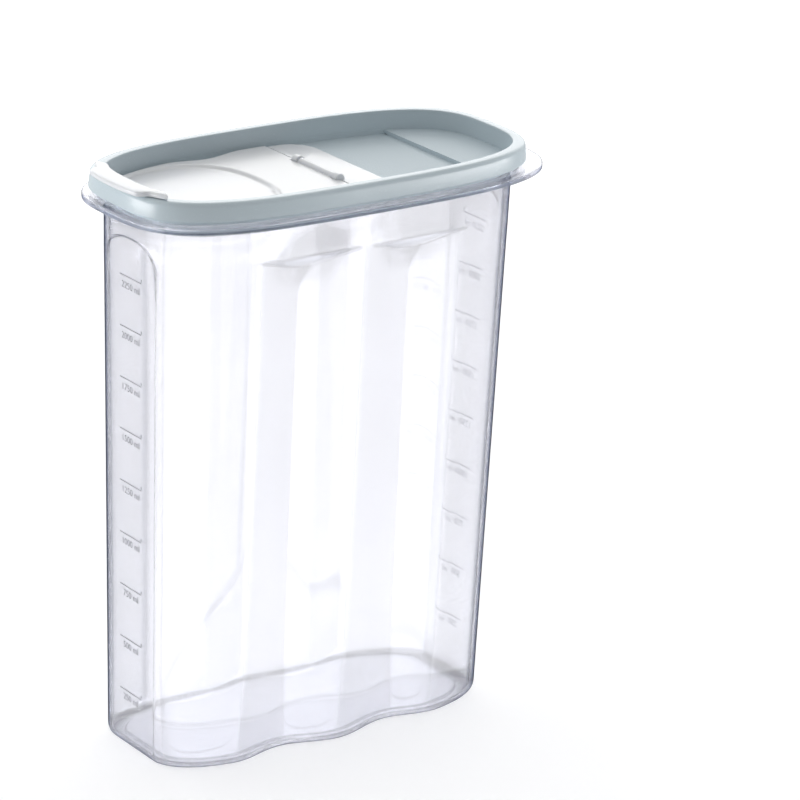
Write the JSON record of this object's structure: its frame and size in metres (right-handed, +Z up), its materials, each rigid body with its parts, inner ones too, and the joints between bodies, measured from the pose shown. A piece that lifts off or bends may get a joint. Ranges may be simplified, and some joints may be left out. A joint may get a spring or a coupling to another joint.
{
  "type": "cereal container with flip spout",
  "caption": "Clear tall oval dry-food container with grip grooves, a press-in lid and a hinged flip-up pour flap.",
  "frame": {"origin": "middle of the container's flat base, on the surface it stands on", "axes": "+Z up through the lid; -X towards the pouring end, +X towards the thumb flange; Y across"},
  "size_m": [0.1976, 0.0964, 0.2467],
  "materials": {
    "clear_plastic": "gloss",
    "lid_plastic": "satin",
    "hinge_plastic": "satin",
    "flap_plastic": "satin"
  },
  "bodies": {
    "container": {"container": "clear_plastic"},
    "lid": {"lid": "lid_plastic", "hinge_plate": "hinge_plastic"},
    "flap": {"flap": "flap_plastic"}
  },
  "joints": [
    {"name": "lid_lift", "type": "slide", "parent": "container", "child": "lid", "axis": [0, 0, 1], "range_m": [0, 0.03]},
    {"name": "flap_hinge", "type": "hinge", "parent": "lid", "child": "flap", "pos_m": [0.0032, 0, 0.2371], "axis": [0, 1, 0], "range_deg": [0, 125]}
  ]
}
